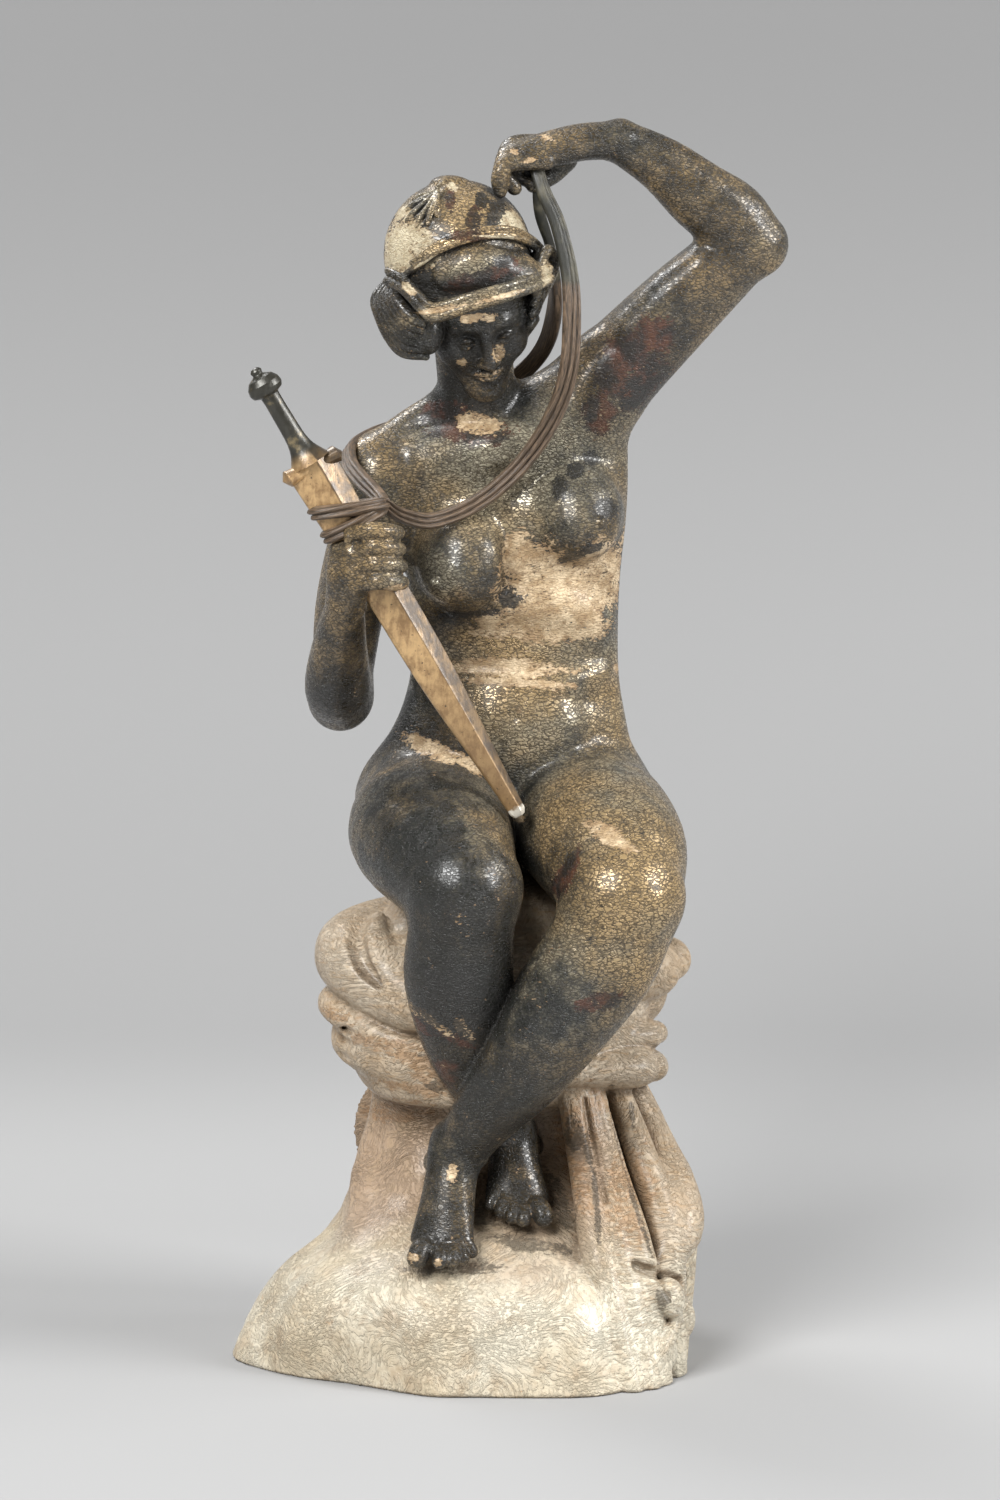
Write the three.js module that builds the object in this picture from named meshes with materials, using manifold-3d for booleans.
// A seated figure of Athena in a pushed-back helmet: she holds a sheathed short sword against her breast
// and lifts its baldric over her head. Cast plaster, about 65 cm high, with the draped rock seat and the
// base in one casting. Millimetres, +Z up. X runs to the viewer's right, Y away from the viewer, and the
// origin is under the base.
import * as THREE from "three";
import { mergeVertices } from "three/addons/utils/BufferGeometryUtils.js";
import Module from "manifold-3d";

// Driving sizes
const STATUE_HEIGHT = 650; // floor to the top of the raised wrist
const CLEARANCE = 0.35; // glue gap round the pieces that were cast by themselves
const FINEST_DETAIL = 0.2; // slivers flatter than this, which joins and cuts leave, are taken out
const SAME_CORNER = 0.03; // corners closer together than this are one corner

const SWORD_LENGTH = 258; // pommel button to chape
const GRIP_RADIUS = 4.6;
const POMMEL_RADIUS = 9.2;
const POMMEL_THICKNESS = 9;
const BUTTON_RADIUS = 3.2;
const GUARD_RADIUS = 5; // the round bar across the scabbard's mouth
const GUARD_SPAN = 34;
const SCABBARD_MOUTH_WIDTH = 27;
const SCABBARD_BLADE_WIDTH = 23;
const SCABBARD_TIP_WIDTH = 9;
const SCABBARD_THICKNESS = 13;

const STRAP_WIDTH = 8.4;
const STRAP_THICKNESS = 4.6;

// The free forms are shares of the height: their numbers are the millimetres of a cast 650 mm high.
const unit = STATUE_HEIGHT / 650;

const wasm = await Module();
wasm.setup();

const UP = [0, 0, 1];
const TOWARDS_VIEWER = [0, -1, 0];
const RIGHT_OF_VIEWER = [1, 0, 0];

const vec = (p) => new THREE.Vector3(...p);
const scaled = (points) => points.map((p) => p.map((n) => n * unit));

// A closed geometry as a solid, turned the right way out.
function solidOf(geometry) {
  const bare = geometry.clone();
  for (const name of ["normal", "uv"]) bare.deleteAttribute(name);
  const merged = mergeVertices(bare, 1e-4);
  const build = () =>
    new wasm.Manifold(
      new wasm.Mesh({
        numProp: 3,
        vertProperties: merged.attributes.position.array,
        triVerts: new Uint32Array(merged.index.array),
      }),
    );
  const made = build();
  if (made.volume() > 0) return made;
  const index = merged.index.array;
  for (let i = 0; i < index.length; i += 3) [index[i], index[i + 1]] = [index[i + 1], index[i]];
  return build();
}

// Which things hang together: link(a, b) puts two in one group, and find(a) names the group that a is in.
function groups(count) {
  const root = Array.from({ length: count }, (_, i) => i);
  const find = (i) => {
    while (root[i] !== i) i = root[i] = root[root[i]];
    return i;
  };
  return { find, link: (a, b) => (root[find(a)] = find(b)) };
}

// The triangles that are left when corners closer together than SAME_CORNER are made one
function welded(triangles, positions) {
  const corners = groups(positions.length / 3);
  const apart = (a, b) =>
    Math.hypot(...[0, 1, 2].map((axis) => positions[3 * a + axis] - positions[3 * b + axis]));
  const kept = [];
  for (let t = 0; t < triangles.length; t += 3) {
    for (let k = 0; k < 3; k++) {
      const [a, b] = [triangles[t + k], triangles[t + ((k + 1) % 3)]];
      if (apart(a, b) < SAME_CORNER) corners.link(a, b);
    }
  }
  for (let t = 0; t < triangles.length; t += 3) {
    const triangle = [0, 1, 2].map((k) => corners.find(triangles[t + k]));
    if (new Set(triangle).size === 3) kept.push(...triangle);
  }
  return kept;
}

// The triangles of the largest connected body: a cut can leave a crumb behind, and plaster crumbs fall off
function largestBody(triangles, count) {
  const hanging = groups(count);
  for (let t = 0; t < triangles.length; t += 3) {
    hanging.link(triangles[t], triangles[t + 1]);
    hanging.link(triangles[t], triangles[t + 2]);
  }
  const bodies = new Map();
  for (let t = 0; t < triangles.length; t += 3) {
    const body = hanging.find(triangles[t]);
    if (!bodies.has(body)) bodies.set(body, []);
    bodies.get(body).push(triangles[t], triangles[t + 1], triangles[t + 2]);
  }
  return [...bodies.values()].sort((a, b) => b.length - a.length)[0];
}

// A solid as a geometry, without the slivers that joins and cuts leave
function geometryOf(solid) {
  const mesh = solid.asOriginal().simplify(FINEST_DETAIL).getMesh();
  const positions = new Float32Array(mesh.numVert * 3);
  for (let i = 0; i < mesh.numVert; i++) {
    for (let axis = 0; axis < 3; axis++) {
      positions[3 * i + axis] = mesh.vertProperties[mesh.numProp * i + axis];
    }
  }
  const geometry = new THREE.BufferGeometry();
  geometry.setAttribute("position", new THREE.BufferAttribute(positions, 3));
  geometry.setIndex(largestBody(welded(mesh.triVerts, positions), mesh.numVert));
  return geometry;
}

const join = (solids) => solids.reduce((all, next) => all.add(next));

const round = (phi) => [Math.cos(phi), Math.sin(phi)];

// A closed tube along a smooth curve, with closed ends past the first and last points. At each point of the
// path it has a half width (across) and a half depth (towards front). It is a sphere whose rings are laid
// along the curve, square to it or, for broad forms, square to the direction in level.
function limb({
  path,
  wide,
  deep = wide,
  front = TOWARDS_VIEWER,
  sides = 10,
  steps = 2 * (path.length - 1),
  section = round,
  caps = 1,
  level = null,
}) {
  const smooth = (points) => new THREE.CatmullRomCurve3(points, false, "catmullrom", 0.5);
  const centre = smooth(path.map(vec));
  const size = smooth(path.map((_, i) => new THREE.Vector3(wide[i], deep[i], 0)));
  const facing = smooth(path.map((_, i) => vec(Array.isArray(front[0]) ? front[i] : front)));
  const rows = steps + 2 * caps;
  const geometry = new THREE.SphereGeometry(1, sides, rows);
  const position = geometry.attributes.position;
  for (let k = 0; k < position.count; k++) {
    const row = Math.floor(k / (sides + 1));
    const phi = ((k % (sides + 1)) / sides) * 2 * Math.PI;
    const along = Math.min(Math.max((row - caps) / steps, 0), 1);
    const past = Math.min(row - caps, 0) + Math.max(row - caps - steps, 0);
    const turn = ((Math.abs(past) / caps) * Math.PI) / 2;
    const tangent = level ? vec(level) : centre.getTangent(along);
    const ahead = facing.getPoint(along);
    ahead.addScaledVector(tangent, -ahead.dot(tangent)).normalize();
    const across = new THREE.Vector3().crossVectors(tangent, ahead);
    const radii = size.getPoint(along);
    const [c, s] = section(phi, along);
    const reach = Math.sign(past) * Math.sin(turn) * Math.min(radii.x, radii.y);
    const shrink = row === 0 || row === rows ? 0 : Math.cos(turn);
    const p = centre.getPoint(along).addScaledVector(tangent, reach);
    p.addScaledVector(across, radii.x * c * shrink).addScaledVector(ahead, radii.y * s * shrink);
    position.setXYZ(k, p.x, p.y, p.z);
  }
  return solidOf(geometry);
}

// A limb whose numbers are shares of the figure's height.
const part = (form) =>
  limb({
    ...form,
    path: scaled(form.path),
    wide: form.wide.map((w) => w * unit),
    deep: (form.deep ?? form.wide).map((d) => d * unit),
  });

// Level rings, each given as [height, left, right, front, back], joined into one broad form.
const stack = (rings, form) =>
  part({
    path: rings.map(([z, left, right, fore, rear]) => [(left + right) / 2, (fore + rear) / 2, z]),
    wide: rings.map(([, left, right]) => (right - left) / 2),
    deep: rings.map(([, , , fore, rear]) => (rear - fore) / 2),
    level: UP,
    ...form,
  });

// An ellipsoid with its radii along three directions: across, front and up.
const UPRIGHT = [RIGHT_OF_VIEWER, TOWARDS_VIEWER, UP];
function ball(centre, [across, front, up], { axes = UPRIGHT, sides = 10, rings = 6 } = {}) {
  const geometry = new THREE.SphereGeometry(1, sides, rings);
  const basis = new THREE.Matrix4().makeBasis(
    vec(axes[0]).multiplyScalar(across * unit),
    vec(axes[2]).multiplyScalar(up * unit),
    vec(axes[1]).multiplyScalar(front * unit),
  );
  geometry.applyMatrix4(basis.setPosition(vec(centre).multiplyScalar(unit)));
  return solidOf(geometry);
}

// The trunk: hips to collar, then buttocks, breasts, neck, shoulders and the flank below the raised arm
function trunk() {
  return [
    stack(
      [
        [262, -46, 76, 2, 76],
        [288, -60, 86, -8, 78],
        [306, -58, 86, -8, 72],
        [331, -42, 81, -8, 62],
        [354, -34, 77, -4, 56],
        [378, -32, 76, -4, 54],
        [410, -35, 77, -10, 56],
        [440, -38, 80, -12, 57],
        [466, -42, 81, -4, 54],
        [484, -32, 79, 2, 50],
        [496, -12, 64, 8, 44],
      ],
      { sides: 12, steps: 9 },
    ),
    ball([-14, 48, 280], [38, 36, 36], { sides: 8, rings: 5 }),
    ball([52, 48, 280], [38, 36, 36], { sides: 8, rings: 5 }),
    ball([-4, -1, 420], [27, 29, 26], { rings: 7 }),
    ball([54, 0, 443], [25, 28, 24], { rings: 7 }),
    part({
      path: [[4, 24, 484], [2, 15, 508], [0, 4, 532]],
      wide: [25, 20.5, 20],
      deep: [20, 20, 20],
      steps: 2,
    }),
    part({
      path: [[-12, 24, 497], [-31, 24, 484], [-48, 22, 467]],
      wide: [13, 14, 18],
      sides: 8,
      steps: 2,
    }),
    part({ path: [[-46, 22, 464], [-42, 18, 432]], wide: [19, 17], sides: 8, steps: 1 }),
    part({ path: [[14, 26, 494], [40, 26, 497], [62, 24, 503]], wide: [15, 20, 24], sides: 8, steps: 2 }),
  ];
}

// The raised left arm and the right arm that grips the sword
function arms() {
  return [
    part({
      path: [[40, 24, 484], [62, 22, 505], [84, 19, 528], [110, 16, 554], [140, 13, 582]],
      wide: [25, 25, 24, 22, 19],
      deep: [22, 23, 22, 20, 17],
      steps: 5,
    }),
    part({
      path: [[147, 12, 584], [134, 8, 597], [118, 4, 608], [98, 0, 624], [75, -5, 637]],
      wide: [16, 19, 18.5, 15, 11.5],
      deep: [15, 17, 16, 13, 10],
      caps: 2,
    }),
    part({
      path: [[-48, 22, 464], [-57, 19, 430], [-65, 14, 392], [-69, 7, 352]],
      wide: [19, 18.5, 18, 16],
      deep: [20, 20, 19, 17],
      steps: 4,
      caps: 2,
    }),
    part({
      path: [[-69.5, 6, 347], [-70, -16, 360], [-68, -40, 382], [-64, -64, 405]],
      wide: [17, 18.5, 16, 12.5],
      deep: [17, 17, 13.5, 10],
      front: [-0.4, -0.6, 0.6],
      steps: 5,
      caps: 2,
    }),
  ];
}

// Both hands: palms and thumbs, then fingers. The raised hand's fingers are folded under its palm, and the
// other hand's fingers lie over the front of the scabbard.
function hands() {
  const raised = [-0.25, -0.45, 0.85];
  const tips = [[14, -25, 611], [21.5, -20, 612.5], [27.4, -13.2, 617.8], [29, -7, 620]];
  const made = [
    part({
      path: [[75, -5, 637], [56, -9, 636], [38, -13, 632], [24, -16, 629]],
      wide: [11, 12, 12.5, 11.5],
      deep: [9.5, 9, 8.4, 7],
      front: raised,
      sides: 8,
      steps: 4,
    }),
    part({ path: [[48, -3, 627], [40, -7, 619], [31, -13, 614]], wide: [6, 5.2, 4], sides: 6, steps: 2 }),
    part({
      path: [[-64, -64, 405], [-63, -75, 416], [-61, -78, 430]],
      wide: [11.5, 13, 13],
      deep: [9.5, 8, 6],
      front: [-0.5, -0.8, 0.1],
      steps: 3,
    }),
    part({ path: [[-55, -64, 411], [-46, -61, 419], [-39, -62, 427]], wide: [6, 5, 4], sides: 6, steps: 2 }),
  ];
  tips.forEach((tip, n) => {
    const apart = n - 1.5;
    made.push(
      part({
        path: [
          [38, -13 + 6.2 * apart, 631 + 3.4 * apart],
          [19 + 0.6 * n, -17 + 6.2 * apart, 630 + 3 * apart],
          [14 + 1.2 * n, -19 + 6 * apart, 622 + 2.4 * apart],
          tip,
        ],
        wide: [4.2, 4.7, 4.5, 3.8],
        sides: 6,
        steps: 3,
      }),
      part({
        path: [
          [-61 + 1.2 * n, -80, 440 - 8.4 * n],
          [-50 + n, -86.5, 442 - 8.4 * n],
          [-41 + 0.8 * n, -82, 441 - 8.4 * n],
          [-37.5 + 0.7 * n, -73, 440 - 8.4 * n],
        ],
        wide: [4.1, 4.5, 4.3, 3.7],
        sides: 6,
        steps: 3,
      }),
    );
  });
  return made;
}

// A foot: ankle, heel and ball, with its toes as tips and half widths
function foot(ankle, heel, tread, toes) {
  const made = [
    part({ path: [ankle, tread], wide: [14, 17.5], deep: [13, 9], front: UP, steps: 2 }),
    ball(heel, [12, 14, 15], { sides: 7, rings: 4 }),
  ];
  toes.forEach(([x, y, z, halfWidth]) => {
    const root = [x + 0.35 * (tread[0] - x), y + 0.6 * (tread[1] - y), z + 4];
    made.push(part({ path: [root, [x, y, z]], wide: [halfWidth * 0.8, halfWidth], sides: 6, steps: 1 }));
  });
  return made;
}

// Crossed legs: hip to knee, then the shank with its calf, then the foot
function legs() {
  return [
    part({
      path: [[-18, 26, 286], [-22, -14, 280], [-15, -50, 273], [-5, -78, 261]],
      wide: [42, 43, 38, 30],
      deep: [36, 37, 35, 29],
      front: UP,
      sides: 12,
      steps: 4,
      caps: 2,
    }),
    part({
      path: [[-4, -80, 258], [-6, -76, 236], [-7, -66, 210], [-1, -44, 172], [12, -22, 136], [20, -12, 112]],
      wide: [27, 27, 28, 23, 15, 12],
      deep: [26, 26, 26, 23, 16, 13],
      steps: 7,
      caps: 2,
    }),
    part({
      path: [[56, 26, 287], [64, -14, 280], [72, -48, 271], [77, -74, 256]],
      wide: [42, 43, 39, 31],
      deep: [36, 37, 36, 30],
      front: UP,
      sides: 12,
      steps: 4,
      caps: 2,
    }),
    part({
      path: [[76, -76, 253], [67, -77, 228], [50, -74, 202], [26, -66, 166], [5, -52, 136], [-9, -40, 113]],
      wide: [29, 30, 29, 24, 17, 13],
      deep: [28, 28, 28, 24, 17, 14],
      steps: 7,
      caps: 2,
    }),
    ...foot([-9, -40, 112], [-11, -20, 90], [-16, -62, 74], [
      [-28.5, -75, 67, 5.8],
      [-17, -78, 66, 4.2],
      [-10.5, -77, 66, 4],
      [-5, -74, 67, 3.8],
      [-0.5, -69, 69, 3.6],
    ]),
    ...foot([20, -12, 112], [22, 8, 98], [23, -34, 90], [
      [36.5, -49, 83, 5.6],
      [26, -52, 82, 4.1],
      [20, -50, 83, 3.9],
      [14.5, -47, 85, 3.7],
      [9, -42, 88, 3.5],
    ]),
  ];
}

// The head looks down and a little to the viewer's right. HEAD_FORWARD and HEAD_SIDE are its own directions.
const HEAD_CENTRE = [0, -10, 557];
const HEAD_FORWARD = vec([0.22, -0.85, -0.47]).normalize();
const HEAD_SIDE = vec([0.976, 0.158, 0.151]);
HEAD_SIDE.addScaledVector(HEAD_FORWARD, -HEAD_SIDE.dot(HEAD_FORWARD)).normalize();
const HEAD_UP = new THREE.Vector3().crossVectors(HEAD_FORWARD, HEAD_SIDE);
const headAxes = [HEAD_SIDE, HEAD_FORWARD, HEAD_UP].map((a) => a.toArray());
const inHead = ([side, ahead, above]) =>
  vec(HEAD_CENTRE)
    .addScaledVector(HEAD_SIDE, side)
    .addScaledVector(HEAD_FORWARD, ahead)
    .addScaledVector(HEAD_UP, above)
    .toArray();

// The helmet is pushed back: its bowl stands nearly upright, with the face plate lifted off the brow
const BOWL_CENTRE = [-7.7, -13, 579];
const BOWL_RADIUS = 38;
const fromBowl = ([x, y, z]) => [BOWL_CENTRE[0] + x, BOWL_CENTRE[1] + y, BOWL_CENTRE[2] + z];
// A point on the front of the bowl, lifted off it
const onBowl = (x, z, lift = 0) => {
  const radius = BOWL_RADIUS + lift;
  return fromBowl([x, -Math.sqrt(Math.max(0, radius ** 2 - x ** 2 - z ** 2)), z]);
};

function head() {
  const across = headAxes[0];
  const ahead = headAxes[1];
  const face = (form) => part({ ...form, path: form.path.map(inHead), front: ahead });
  const rim = (path, wide, steps) => part({ path, wide, front: UP, sides: 4, steps });
  const made = [
    ball(inHead([0, -6, 3]), [28, 34, 32], { axes: headAxes, sides: 8, rings: 5 }),
    // Brow to chin
    face({
      path: [[0, 6, 4], [0, 10, -14], [0, 13, -28], [0, 17, -40]],
      wide: [26, 24, 19, 12],
      deep: [23, 20, 17, 11],
      sides: 12,
      steps: 4,
      caps: 2,
    }),
    // Hair over the ears, then nose, lips and chin
    ball(fromBowl([-25, -6, -34]), [12, 18, 18], { sides: 7, rings: 5 }),
    ball(fromBowl([35, 0, -26]), [10, 16, 16], { sides: 7, rings: 5 }),
    face({
      path: [[0, 29, 1], [0, 32, -7], [0, 34, -15]],
      wide: [3, 3.2, 4.4],
      deep: [2.4, 3.4, 3.4],
      sides: 5,
      steps: 2,
    }),
    face({
      path: [[-7, 25, -24], [0, 29, -24], [7, 25, -24]],
      wide: [1.6, 2.6, 1.6],
      sides: 5,
      steps: 2,
    }),
    ball(inHead([0, 21, -40]), [8, 7.5, 7], { axes: headAxes, sides: 6, rings: 4 }),
    // Bowl of the helmet, with its top button
    ball(BOWL_CENTRE, [BOWL_RADIUS, BOWL_RADIUS + 2, BOWL_RADIUS], { sides: 14, rings: 8 }),
    ball(fromBowl([-3.5, -6, BOWL_RADIUS - 1]), [6, 6, 4], { sides: 6, rings: 3 }),
    // Face plate: a swelling between an upper and a lower rim
    ball(fromBowl([6, -15, -9]), [36, 27, 17], {
      axes: [across, TOWARDS_VIEWER, UP],
      sides: 12,
      rings: 6,
    }),
    rim(
      [
        onBowl(-33, -13, 2.5),
        onBowl(-14, 1, 3),
        onBowl(4, 9, 3.5),
        onBowl(18, 12, 3.5),
        onBowl(30, 10, 3.5),
        fromBowl([41, -9, 3]),
      ],
      [2.6, 2.6, 2.6, 2.6, 2.6, 2.6],
      7,
    ),
    rim(
      [
        [-35, -19, -12],
        [-19, -38, -23],
        [-12.5, -43, -28],
        [7, -47, -22.5],
        [30, -38, -16],
        [47, -14, -10],
      ].map(fromBowl),
      [3.8, 3.8, 3.8, 3.8, 3.8, 3.8],
      9,
    ),
    // Volutes where the cheek pieces curl up at each temple
    part({
      path: [[-29, -26, -8], [-39, -17, -16], [-36, -14, -27], [-24, -24, -30]].map(fromBowl),
      wide: [4, 5.5, 6, 4],
      deep: [4, 8, 8, 4],
      sides: 6,
      steps: 5,
    }),
    part({
      path: [[42, -14, 2], [48, -8, 4], [50, -4, -8], [42, -8, -20]].map(fromBowl),
      wide: [4, 5, 6, 4],
      deep: [4, 7, 8, 5],
      sides: 6,
      steps: 5,
    }),
  ];
  // Waves of hair below the volutes, drawn back to the nape
  for (let wave = 0; wave < 2; wave++) {
    made.push(
      part({
        path: [
          [-22 + 4 * wave, -26, -34 - 9 * wave],
          [-34 + 7 * wave, -14, -33 - 11 * wave],
          [-29 + 8 * wave, 2, -38 - 9 * wave],
          [-12, 16, -44 - 4 * wave],
        ].map(fromBowl),
        wide: [4.6, 7, 7, 5],
        sides: 5,
        steps: 4,
      }),
      part({
        path: [
          [40, -14, -25 - 8 * wave],
          [45 - 4 * wave, -2, -22 - 9 * wave],
          [35 - 4 * wave, 12, -31 - 8 * wave],
          [12, 22, -42 - 4 * wave],
        ].map(fromBowl),
        wide: [4, 5.8, 7, 5],
        sides: 5,
        steps: 4,
      }),
    );
  }
  // Palmette on the bowl: three leaves fanned from a root near the top
  for (const spread of [-0.8, 0, 0.8]) {
    const turn = spread - 0.55;
    const along = (r) => onBowl(-12 + r * Math.sin(turn), 29 - r * Math.cos(turn), 0.4);
    made.push(part({ path: [along(2), along(8), along(15)], wide: [1, 2.4, 1.3], sides: 4, steps: 2 }));
  }
  return made;
}

const lobe = (phi, centre, width, size) => {
  const apart = Math.atan2(Math.sin(phi - centre), Math.cos(phi - centre));
  return size * Math.exp(-((apart / width) ** 2));
};

// Rock with its base: an uneven mound, pressed in at the front left and squared off at the front right near
// the floor
function rock() {
  const uneven = (phi, along) => {
    const low = Math.max(0, 1 - 1.7 * along);
    const r =
      1 +
      lobe(phi, 0.9, 0.34, 0.24 * low) -
      lobe(phi, 2.2, 0.5, 0.14 * low) +
      0.015 * Math.sin(5 * phi + 6 * along) +
      0.012 * Math.sin(9 * phi - 8 * along);
    return [r * Math.cos(phi), r * Math.sin(phi)];
  };
  return stack(
    [
      [-6, -127, 98, -100, 98],
      [14, -123, 98, -98, 97],
      [32, -111, 97, -94, 95],
      [47, -96, 96, -86, 92],
      [58, -82, 95, -74, 90],
      [69, -73, 94, -56, 88],
      [79, -68, 92, -38, 86],
      [92, -64, 90, -18, 84],
      [114, -56, 88, -8, 84],
      [138, -53, 84, -8, 82],
    ],
    { sides: 20, steps: 8, section: uneven },
  );
}

// Seat under the cloth, rolls of cloth on the left, lobes on the right and folds behind
function seat() {
  const made = [
    stack(
      [
        [134, -50, 84, -20, 80],
        [156, -62, 90, -30, 86],
        [186, -68, 94, -36, 88],
        [214, -68, 92, -36, 84],
        [230, -54, 84, -24, 74],
      ],
      { sides: 14, steps: 4 },
    ),
  ];
  // Each roll on the left: its height and reach at the side, its height under the knee and its thickness
  const rolls = [
    [212, -61, 192, 22],
    [185, -73, 174, 8],
    [171, -65, 161, 9.5],
    [156, -58, 149, 12],
  ];
  for (const [side, reach, fore, radius] of rolls) {
    made.push(
      part({
        path: [
          [6, 74, side + 4],
          [reach + 24, 62, side + 2],
          [reach, 28, side],
          [reach + 4, -2, side - 3],
          [reach + 30, -24, fore],
          [-4, -32, fore - 6],
        ],
        wide: [radius * 0.9, radius, radius, radius, radius * 0.8, radius * 0.4],
        front: UP,
        sides: 6,
        steps: 7,
      }),
    );
  }
  // Each lobe on the right: root, middle and tip, half width in plan and half thickness
  const lobes = [
    [[58, 8, 196], [90, 20, 202], [103, 26, 206], 24, 17],
    [[58, 2, 168], [88, 14, 168], [96, 18, 168], 15, 9],
    [[46, -8, 154], [82, 4, 153], [94, 8, 152], 22, 12],
  ];
  for (const [root, middle, tip, width, thick] of lobes) {
    made.push(
      part({
        path: [root, middle, tip],
        wide: [width, width, width * 0.6],
        deep: [thick * 0.9, thick, thick * 0.7],
        front: UP,
        sides: 8,
        steps: 3,
      }),
    );
  }
  // One broad fold round the back
  made.push(
    part({
      path: [[4, 76, 196], [52, 72, 190], [88, 42, 190]],
      wide: [17, 19, 16],
      deep: [24, 26, 22],
      front: UP,
      sides: 6,
      steps: 3,
    }),
  );
  return made;
}

// Cloth that hangs from the seat to the floor on the viewer's right, in folds that fan out
function hangingCloth() {
  const folds = [
    [[50, -14, 142], [58, -34, 104], [66, -60, 60], [82, -84, -4], 8],
    [[62, -8, 144], [72, -28, 104], [86, -54, 60], [96, -70, -4], 8],
    [[74, 2, 144], [88, -16, 108], [100, -34, 70], [103, -52, -4], 8.5],
    [[80, 16, 144], [98, 2, 108], [107, -10, 78], [102, -26, -4], 10],
    [[80, 34, 144], [96, 24, 108], [104, 16, 66], [101, 8, -4], 10],
    [[72, 52, 144], [86, 50, 104], [94, 46, 60], [94, 42, -4], 11],
    [[54, 70, 144], [66, 74, 104], [76, 76, 56], [78, 74, -4], 11],
  ];
  const made = folds.map(([top, upper, lower, hem, radius]) =>
    part({
      path: [top, upper, lower, hem],
      wide: [0.8, 1, 1.15, 1].map((share) => share * radius),
      sides: 6,
      steps: 4,
    }),
  );
  // The cloth behind the folds, which closes the grooves between them
  made.push(
    stack(
      [
        [146, 42, 86, -4, 64],
        [104, 50, 100, -28, 74],
        [66, 56, 105, -54, 80],
        [30, 58, 105, -72, 80],
        [-6, 60, 103, -80, 80],
      ],
      { sides: 12, steps: 4 },
    ),
  );
  // The turned-up end of the outer fold, and the knot of cloth below it
  made.push(
    part({
      path: [[100, 0, 104], [108, -14, 84], [106, -30, 66], [96, -42, 54]],
      wide: [9, 12, 12, 7],
      sides: 8,
      steps: 4,
    }),
    ball([101, -52, 40], [10, 10, 13], { sides: 6, rings: 4 }),
    ball([108, -38, 26], [9, 10, 12], { sides: 6, rings: 4 }),
    ball([96, -62, 16], [9, 10, 11], { sides: 6, rings: 4 }),
  );
  return made;
}

// Small round shield leaning on the back of the rock: only its rim shows, past the left side
function shield() {
  const facing = new THREE.Vector3(0.4, 0.87, 0.28).normalize();
  const across = new THREE.Vector3().crossVectors(facing, vec(UP)).normalize();
  const axes = [across, facing, new THREE.Vector3().crossVectors(across, facing)];
  return ball([-20, 66, 96], [51, 4, 51], { axes: axes.map((a) => a.toArray()), sides: 14, rings: 7 });
}

// The sword's line runs down towards the lap. The baldric's first turn is HELD_SHARE of the way from pommel
// to chape, and stays at HELD_AT whatever the sword's length.
const HELD_AT = [-66.5, -71.2, 449.5];
const HELD_SHARE = 0.29;
const swordDirection = new THREE.Vector3(129, 27, -222).normalize();
const swordPoint = (distance) =>
  vec(HELD_AT).multiplyScalar(unit).addScaledVector(swordDirection, distance - HELD_SHARE * SWORD_LENGTH);
const swordFront = new THREE.Vector3(0.25, -1, 0.1).addScaledVector(
  swordDirection,
  -new THREE.Vector3(0.25, -1, 0.1).dot(swordDirection),
);
const GUARD_AT = 0.178 * SWORD_LENGTH;
const BLADE_AT = 0.5 * SWORD_LENGTH;

// Flattened six-sided outline with a blunt ridge down the front, as the scabbard's wooden core would be
const ridged = (phi) => {
  const c = Math.cos(phi);
  const s = Math.sin(phi);
  const r = 1 / (0.62 * Math.abs(s) + Math.hypot(0.8 * c, 0.42 * s));
  return [r * c * 0.8, r * s];
};

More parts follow.
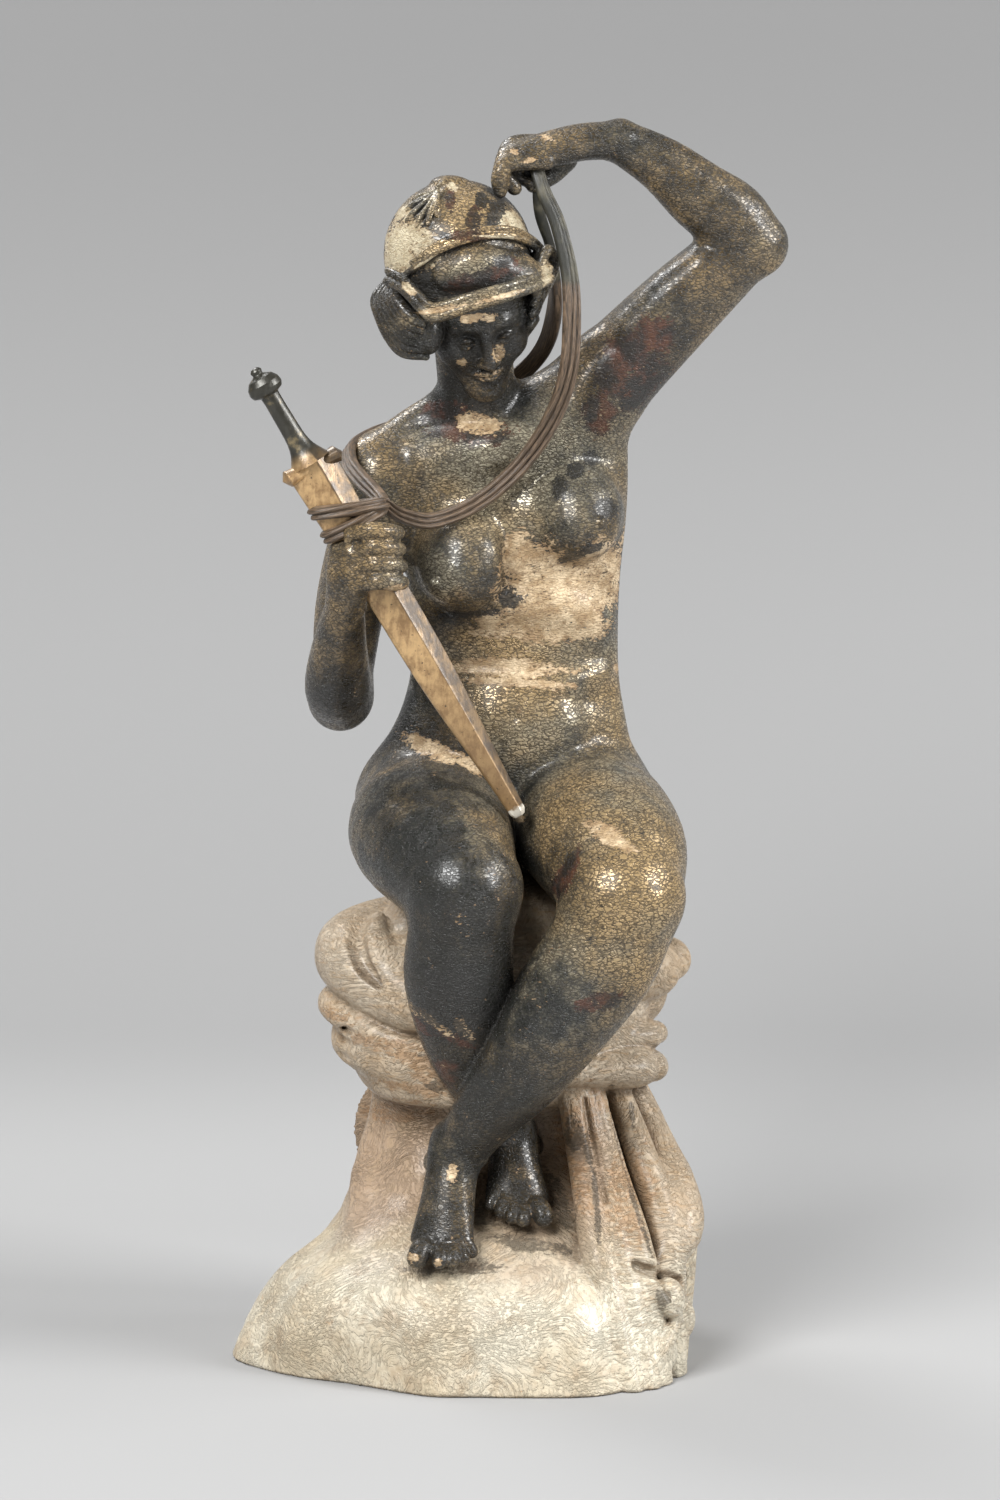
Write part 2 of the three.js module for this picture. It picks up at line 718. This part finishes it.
function sword(grow = 0) {
  const mouth = GUARD_AT + 2;
  const half = (width) => width / 2 + grow;
  const stations = [
    [mouth, SCABBARD_MOUTH_WIDTH, 1],
    [mouth + 26, SCABBARD_MOUTH_WIDTH * 0.92, 1],
    [BLADE_AT, SCABBARD_BLADE_WIDTH, 0.95],
    [1.24 * BLADE_AT, SCABBARD_BLADE_WIDTH * 0.95, 0.9],
    [1.46 * BLADE_AT, SCABBARD_BLADE_WIDTH * 0.82, 0.85],
    [1.66 * BLADE_AT, SCABBARD_BLADE_WIDTH * 0.62, 0.8],
    [SWORD_LENGTH - SCABBARD_TIP_WIDTH / 2, SCABBARD_TIP_WIDTH, 0.6],
  ];
  const scabbard = limb({
    path: stations.map(([at]) => swordPoint(at).toArray()),
    wide: stations.map(([, width]) => half(width)),
    deep: stations.map(([, , share]) => half(SCABBARD_THICKNESS * share)),
    front: swordFront.toArray(),
    sides: 12,
    steps: 10,
    section: ridged,
  });
  // Hilt: pommel, button and waisted grip, turned about the sword's line
  const profile = [
    [0, -POMMEL_THICKNESS * 0.5 - BUTTON_RADIUS * 1.4],
    [BUTTON_RADIUS, -POMMEL_THICKNESS * 0.5 - BUTTON_RADIUS * 0.7],
    [BUTTON_RADIUS * 0.8, -POMMEL_THICKNESS * 0.42],
    [POMMEL_RADIUS * 0.8, -POMMEL_THICKNESS * 0.2],
    [POMMEL_RADIUS, POMMEL_THICKNESS * 0.12],
    [POMMEL_RADIUS * 0.75, POMMEL_THICKNESS * 0.45],
    [GRIP_RADIUS, POMMEL_THICKNESS * 0.6],
    [GRIP_RADIUS * 1.12, GUARD_AT * 0.5],
    [GRIP_RADIUS * 1.05, GUARD_AT * 0.72],
    [GRIP_RADIUS * 1.5, GUARD_AT * 0.86],
    [SCABBARD_MOUTH_WIDTH * 0.42, GUARD_AT],
    [0, GUARD_AT + 3],
  ].map(([r, h]) => new THREE.Vector2(r === 0 ? 0 : r + grow, h));
  const hilt = new THREE.LatheGeometry(profile, 10);
  const hiltAxes = new THREE.Matrix4()
    .makeBasis(new THREE.Vector3().crossVectors(swordDirection, swordFront), swordDirection, swordFront)
    .setPosition(swordPoint(0));
  hilt.applyMatrix4(hiltAxes);
  const across = new THREE.Vector3().crossVectors(swordDirection, swordFront).normalize();
  const guardEnd = (way) =>
    swordPoint(GUARD_AT + 3).addScaledVector(across, (way * (GUARD_SPAN - 2 * GUARD_RADIUS)) / 2).toArray();
  const guard = limb({
    path: [guardEnd(-1), guardEnd(1)],
    wide: [GUARD_RADIUS + grow, GUARD_RADIUS + grow],
    deep: [SCABBARD_THICKNESS * 0.56 + grow, SCABBARD_THICKNESS * 0.56 + grow],
    front: swordFront.toArray(),
    sides: 10,
    steps: 2,
  });
  return join([scabbard, solidOf(hilt), guard]);
}

// The baldric's outline: a flat six-sided band
const BAND_CORNERS = [[1, 0], [0.78, 1], [-0.78, 1], [-1, 0], [-0.78, -1], [0.78, -1]];
const band = (phi) => BAND_CORNERS[Math.round((phi / Math.PI) * 3) % 6];

const strap = (path, front, grow, steps) =>
  limb({
    path,
    wide: path.map(() => STRAP_WIDTH / 2 + grow),
    deep: path.map(() => STRAP_THICKNESS / 2 + grow),
    front,
    sides: 6,
    section: band,
    steps,
  });

// The strap's turns round the scabbard: place down the sword, how far the two sides are set along the sword,
// slack past the scabbard's edge and how far the turn hangs over to the right
const WINDINGS = [
  [HELD_SHARE * SWORD_LENGTH, -7.3, 3.5, 5],
  [HELD_SHARE * SWORD_LENGTH + 0.9 * STRAP_WIDTH, -1.3, 2.5, 3.5],
];

// A point of a turn and the way it faces. The angle runs from the scabbard's left edge over its front to the
// right.
function onTurn([at, tilt, slack, overhang], angle) {
  const across = new THREE.Vector3().crossVectors(swordDirection, swordFront).normalize();
  const halfWidth = SCABBARD_MOUTH_WIDTH / 2 + slack;
  const halfDepth = SCABBARD_THICKNESS / 2 + STRAP_THICKNESS / 2 + CLEARANCE;
  const facing = across
    .multiplyScalar(Math.cos(angle) * halfWidth - overhang)
    .addScaledVector(swordFront.clone().normalize(), Math.sin(angle) * halfDepth);
  const point = swordPoint(at + tilt * Math.cos(angle)).add(facing);
  return { point: point.toArray(), facing: facing.normalize().toArray() };
}

// A whole turn. Its front and its back half overlap a little at the sides.
function winding(turn, grow) {
  const pointsPerHalf = 6;
  const overlap = 0.12;
  const halves = [0, Math.PI].map((start) => {
    const places = Array.from({ length: pointsPerHalf }, (_, i) => {
      const share = i / (pointsPerHalf - 1);
      return onTurn(turn, start - overlap + share * (Math.PI + 2 * overlap));
    });
    const points = places.map(({ point }) => point);
    const facings = places.map(({ facing }) => facing);
    return strap(points, facings, grow, pointsPerHalf - 1);
  });
  return join(halves);
}

// Down from the raised hand, past the helmet and across the breast: points, then facings. Both strands end
// on the right side of the first turn.
const FORE_STRAND = [
  [[33, -17, 622], [1, -0.4, 0]],
  [[37, -20, 610], [1, -0.4, 0]],
  [[44, -22, 594], [1, -0.5, 0]],
  [[50, -25, 568], [1, -0.7, 0]],
  [[51, -27, 543], [0.8, -1, 0]],
  [[49, -27, 518], [0.5, -1, 0]],
  [[41, -22, 495], [0.2, -1, 0]],
  [[25, -16, 471], [0, -1, 0]],
  [[3, -19, 452], [0, -1, 0]],
  [[-20, -28, 443], [0.2, -1, 0]],
  [[-36, -47, 447], [0.6, -1, 0]],
];
// Down from the hand behind the head, over the back and the right shoulder to the scabbard
const REAR_STRAND = [
  [[33, -12, 621], [1, 0, 0]],
  [[34, -6, 602], [1, 0, 0]],
  [[40, 6, 582], [1, 0.2, 0]],
  [[43, 18, 557], [1, 0.4, 0]],
  [[40, 31, 536], [0.6, 1, 0.2]],
  [[31, 43, 521], [0.3, 1, 0.4]],
  [[14, 51, 508], [0, 1, 0.6]],
  [[-10, 53, 497], [0, 1, 0.7]],
  [[-34, 48, 489], [-0.2, 1, 0.8]],
  [[-53, 36, 484], [-0.6, 0.6, 0.9]],
  [[-64, 14, 478], [-1, 0, 0.7]],
  [[-64, -10, 471], [-1, -0.4, 0.5]],
  [[-57, -34, 464], [-0.8, -1, 0.2]],
  [[-49, -52, 458], [-0.6, -1, 0]],
];

function baldric(grow = 0) {
  const hitch = onTurn(WINDINGS[0], Math.PI).point;
  const strands = [FORE_STRAND, REAR_STRAND].map((strand) => {
    const facings = strand.map(([, facing]) => facing);
    const points = [...scaled(strand.map(([point]) => point)), hitch];
    return strap(points, [...facings, facings.at(-1)], grow, 16);
  });
  return join([...strands, ...WINDINGS.map((turn) => winding(turn, grow))]);
}

const belowFloor = solidOf(
  new THREE.BoxGeometry(600 * unit, 600 * unit, 300 * unit).translate(0, 0, -150 * unit),
);
const ground = [rock(), ...seat(), ...hangingCloth(), shield()];
const cast = join([...ground, ...trunk(), ...legs(), ...arms(), ...head(), ...hands()]);
const statue = cast.subtract(belowFloor).subtract(sword(CLEARANCE)).subtract(baldric(CLEARANCE));
const sheathedSword = sword();
const strapLoop = baldric().subtract(sword(CLEARANCE));

function piece(name, solid, colour, roughness, metalness) {
  const look = { color: colour, roughness, metalness, flatShading: true };
  const mesh = new THREE.Mesh(geometryOf(solid), new THREE.MeshStandardMaterial(look));
  mesh.name = name;
  return mesh;
}

const whole = new THREE.Group();
whole.add(
  piece("statue", statue, 0x5a5444, 0.45, 0.1),
  piece("sheathed_sword", sheathedSword, 0xa98a54, 0.4, 0.3),
  piece("baldric", strapLoop, 0x4a3c30, 0.5, 0),
);

export default whole;
